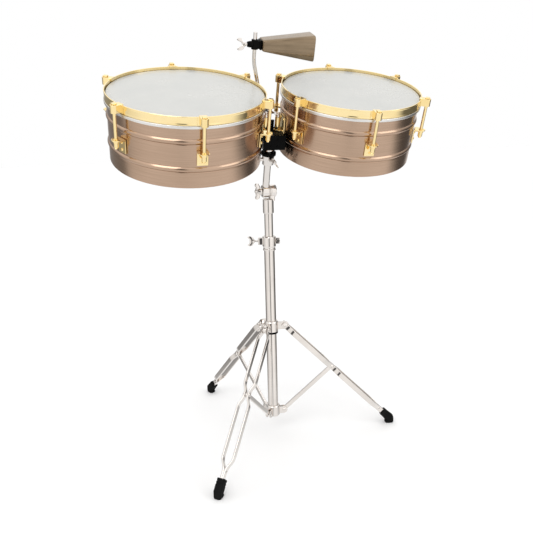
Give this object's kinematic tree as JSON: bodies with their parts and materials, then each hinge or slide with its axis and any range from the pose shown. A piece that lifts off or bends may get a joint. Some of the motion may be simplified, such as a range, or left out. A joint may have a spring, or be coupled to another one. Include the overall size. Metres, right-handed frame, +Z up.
{
  "type": "timbales",
  "caption": "Pair of shallow single-headed metal drums with a cowbell on one bracket, on a folding double-braced tripod stand with a height tube and a tilter.",
  "frame": {"origin": "floor level under the middle of the bounding box, with the stand open and the drums tilted toward the player", "axes": "+Z up, +X from the larger left drum to the smaller right drum, +Y away from the player"},
  "size_m": [0.8112, 0.6518, 1.1284],
  "materials": {
    "chrome": "polished",
    "gold": "polished gold plate",
    "bronze": "brushed antique nickel",
    "black": "gloss black",
    "rubber": "matte",
    "film": "smooth translucent white"
  },
  "bodies": {
    "base": {"outer_tube": "chrome", "base_hub": "chrome", "tube_clamp": "chrome"},
    "collar": {"leg_collar": "chrome"},
    "collar_screw": {"collar_wing_screw": "chrome"},
    "clamp_bolt": {"clamp_wing_bolt": "chrome"},
    "mast": {"inner_tube": "chrome"},
    "tilter": {"tilter_base": "chrome"},
    "head": {"tilter_head": "chrome"},
    "tilter_nut": {"tilter_wing_nut": "chrome"},
    "drums": {"center_bracket": "black", "left_shell": "bronze", "left_mount_plate": "gold", "left_lug_1": "gold", "left_lug_2": "gold", "left_lug_3": "gold", "left_lug_4": "gold", "left_lug_5": "gold", "left_lug_6": "gold", "right_shell": "bronze", "right_mount_plate": "gold", "right_lug_1": "gold", "right_lug_2": "gold", "right_lug_3": "gold", "right_lug_4": "gold", "right_lug_5": "gold", "right_lug_6": "gold"},
    "receiver_bolt": {"receiver_wing_bolt": "chrome"},
    "bell_rod": {"cowbell_rod": "chrome"},
    "bell_rod_screw": {"bell_rod_wing_screw": "chrome"},
    "bell": {"cowbell": "bronze", "cowbell_clamp": "black"},
    "bell_bolt": {"cowbell_wing_bolt": "chrome"},
    "brace_1": {"brace_1": "chrome"},
    "leg_1": {"leg_1": "chrome", "foot_1": "rubber"},
    "brace_2": {"brace_2": "chrome"},
    "leg_2": {"leg_2": "chrome", "foot_2": "rubber"},
    "brace_3": {"brace_3": "chrome"},
    "leg_3": {"leg_3": "chrome", "foot_3": "rubber"},
    "left_rim": {"left_head": "film", "left_hoop": "gold"},
    "left_mount_nut": {"left_mount_wing_nut": "chrome"},
    "left_rod_1": {"left_rod_1": "gold"},
    "left_rod_2": {"left_rod_2": "gold"},
    "left_rod_3": {"left_rod_3": "gold"},
    "left_rod_4": {"left_rod_4": "gold"},
    "left_rod_5": {"left_rod_5": "gold"},
    "left_rod_6": {"left_rod_6": "gold"},
    "right_rim": {"right_head": "film", "right_hoop": "gold"},
    "right_mount_nut": {"right_mount_wing_nut": "chrome"},
    "right_rod_1": {"right_rod_1": "gold"},
    "right_rod_2": {"right_rod_2": "gold"},
    "right_rod_3": {"right_rod_3": "gold"},
    "right_rod_4": {"right_rod_4": "gold"},
    "right_rod_5": {"right_rod_5": "gold"},
    "right_rod_6": {"right_rod_6": "gold"}
  },
  "joints": [
    {"name": "legs_fold", "type": "slide", "parent": "base", "child": "collar", "axis": [0, 0, 1], "range_m": [0, 0.1197]},
    {"name": "collar_screw_turn", "type": "hinge", "parent": "collar", "child": "collar_screw", "pos_m": [0.01072, -0.02781, 0.331], "axis": [-0.9877, 0.1564, 0], "continuous": true},
    {"name": "brace_1_hinge", "type": "hinge", "parent": "base", "child": "brace_1", "pos_m": [0.04232, -0.03282, 0.07], "axis": [-0.1564, -0.9877, 0], "range_deg": [0, 42.36]},
    {"name": "leg_1_hinge", "type": "hinge", "parent": "brace_1", "child": "leg_1", "pos_m": [0.18454, -0.05534, 0.19605], "axis": [0.1564, 0.9877, 0], "range_deg": [0, 83.16]},
    {"name": "brace_2_hinge", "type": "hinge", "parent": "base", "child": "brace_2", "pos_m": [-0.00075, 0.00206, 0.07], "axis": [0.9336, 0.3584, 0], "range_deg": [0, 42.36]},
    {"name": "leg_2_hinge", "type": "hinge", "parent": "brace_2", "child": "leg_2", "pos_m": [-0.05235, 0.1365, 0.19605], "axis": [-0.9336, -0.3584, 0], "range_deg": [0, 83.16]},
    {"name": "brace_3_hinge", "type": "hinge", "parent": "base", "child": "brace_3", "pos_m": [-0.00942, -0.05268, 0.07], "axis": [-0.7771, 0.6293, 0], "range_deg": [0, 42.36]},
    {"name": "leg_3_hinge", "type": "hinge", "parent": "brace_3", "child": "leg_3", "pos_m": [-0.10004, -0.16458, 0.19605], "axis": [0.7771, -0.6293, 0], "range_deg": [0, 83.16]},
    {"name": "clamp_bolt_turn", "type": "hinge", "parent": "base", "child": "clamp_bolt", "pos_m": [0.01072, -0.02781, 0.582], "axis": [-0.9613, 0.2756, 0], "continuous": true},
    {"name": "height_slide", "type": "slide", "parent": "base", "child": "mast", "axis": [0, 0, 1], "range_m": [-0.04, 0.25]},
    {"name": "head_swivel", "type": "hinge", "parent": "mast", "child": "tilter", "pos_m": [0.01072, -0.02781, 0.7], "axis": [0, 0, 1], "continuous": true},
    {"name": "tilt_hinge", "type": "hinge", "parent": "tilter", "child": "head", "pos_m": [0.01072, -0.02781, 0.721], "axis": [1, 0, 0], "range_deg": [-35, 20]},
    {"name": "tilter_nut_turn", "type": "hinge", "parent": "head", "child": "tilter_nut", "pos_m": [0.01072, -0.02781, 0.721], "axis": [-1, 0, 0], "continuous": true},
    {"name": "drums_lift", "type": "slide", "parent": "head", "child": "drums", "axis": [0, -0.3486, 0.9373], "range_m": [0, 0.04]},
    {"name": "receiver_bolt_turn", "type": "hinge", "parent": "drums", "child": "receiver_bolt", "pos_m": [0.00372, -0.06267, 0.81473], "axis": [0.1736, -0.923, -0.3433], "continuous": true},
    {"name": "left_rim_slide", "type": "slide", "parent": "drums", "child": "left_rim", "axis": [0, -0.3486, 0.9373], "range_m": [0, 0.006]},
    {"name": "left_mount_nut_turn", "type": "hinge", "parent": "drums", "child": "left_mount_nut", "pos_m": [-0.00528, -0.08508, 0.92375], "axis": [0, -0.3486, 0.9373], "continuous": true},
    {"name": "left_rod_1_turn", "type": "hinge", "parent": "left_rim", "child": "left_rod_1", "pos_m": [-0.20407, -0.28813, 0.86958], "axis": [0, -0.3486, 0.9373], "continuous": true},
    {"name": "left_rod_2_turn", "type": "hinge", "parent": "left_rim", "child": "left_rod_2", "pos_m": [-0.026, -0.18505, 0.90791], "axis": [0, -0.3486, 0.9373], "continuous": true},
    {"name": "left_rod_3_turn", "type": "hinge", "parent": "left_rim", "child": "left_rod_3", "pos_m": [-0.03221, 0.01104, 0.98084], "axis": [0, -0.3486, 0.9373], "continuous": true},
    {"name": "left_rod_4_turn", "type": "hinge", "parent": "left_rim", "child": "left_rod_4", "pos_m": [-0.21649, 0.10404, 1.01543], "axis": [0, -0.3486, 0.9373], "continuous": true},
    {"name": "left_rod_5_turn", "type": "hinge", "parent": "left_rim", "child": "left_rod_5", "pos_m": [-0.39457, 0.00096, 0.97709], "axis": [0, -0.3486, 0.9373], "continuous": true},
    {"name": "left_rod_6_turn", "type": "hinge", "parent": "left_rim", "child": "left_rod_6", "pos_m": [-0.38836, -0.19513, 0.90416], "axis": [0, -0.3486, 0.9373], "continuous": true},
    {"name": "right_rim_slide", "type": "slide", "parent": "drums", "child": "right_rim", "axis": [0, -0.3486, 0.9373], "range_m": [0, 0.006]},
    {"name": "right_mount_nut_turn", "type": "hinge", "parent": "drums", "child": "right_mount_nut", "pos_m": [0.02672, -0.08508, 0.92375], "axis": [0, -0.3486, 0.9373], "continuous": true},
    {"name": "right_rod_1_turn", "type": "hinge", "parent": "right_rim", "child": "right_rod_1", "pos_m": [0.21011, -0.2761, 0.87405], "axis": [0, -0.3486, 0.9373], "continuous": true},
    {"name": "right_rod_2_turn", "type": "hinge", "parent": "right_rim", "child": "right_rod_2", "pos_m": [0.38497, -0.19187, 0.90538], "axis": [0, -0.3486, 0.9373], "continuous": true},
    {"name": "right_rod_3_turn", "type": "hinge", "parent": "right_rim", "child": "right_rod_3", "pos_m": [0.39458, -0.00782, 0.97383], "axis": [0, -0.3486, 0.9373], "continuous": true},
    {"name": "right_rod_4_turn", "type": "hinge", "parent": "right_rim", "child": "right_rod_4", "pos_m": [0.22932, 0.092, 1.01095], "axis": [0, -0.3486, 0.9373], "continuous": true},
    {"name": "right_rod_5_turn", "type": "hinge", "parent": "right_rim", "child": "right_rod_5", "pos_m": [0.05446, 0.00777, 0.97962], "axis": [0, -0.3486, 0.9373], "continuous": true},
    {"name": "right_rod_6_turn", "type": "hinge", "parent": "right_rim", "child": "right_rod_6", "pos_m": [0.04486, -0.17628, 0.91118], "axis": [0, -0.3486, 0.9373], "continuous": true},
    {"name": "bell_rod_slide", "type": "slide", "parent": "drums", "child": "bell_rod", "axis": [-0.247, -0.3378, 0.9082], "range_m": [-0.03, 0.025]},
    {"name": "bell_rod_screw_turn", "type": "hinge", "parent": "drums", "child": "bell_rod_screw", "pos_m": [0.00958, 0.00368, 0.93756], "axis": [1, 0, 0], "continuous": true},
    {"name": "bell_hinge", "type": "hinge", "parent": "bell_rod", "child": "bell", "pos_m": [-0.02228, -0.05558, 1.0969], "axis": [0, -0.3486, 0.9373], "range_deg": [-60, 60]},
    {"name": "bell_bolt_turn", "type": "hinge", "parent": "bell", "child": "bell_bolt", "pos_m": [-0.02228, -0.05558, 1.0969], "axis": [-1, 0, 0], "continuous": true}
  ],
  "couplings": [
    {"joint": "brace_1_hinge", "follows": "legs_fold", "rad_per_m": 6.1769},
    {"joint": "leg_1_hinge", "follows": "legs_fold", "rad_per_m": 12.126},
    {"joint": "brace_2_hinge", "follows": "legs_fold", "rad_per_m": 6.1769},
    {"joint": "leg_2_hinge", "follows": "legs_fold", "rad_per_m": 12.126},
    {"joint": "brace_3_hinge", "follows": "legs_fold", "rad_per_m": 6.1769},
    {"joint": "leg_3_hinge", "follows": "legs_fold", "rad_per_m": 12.126}
  ]
}
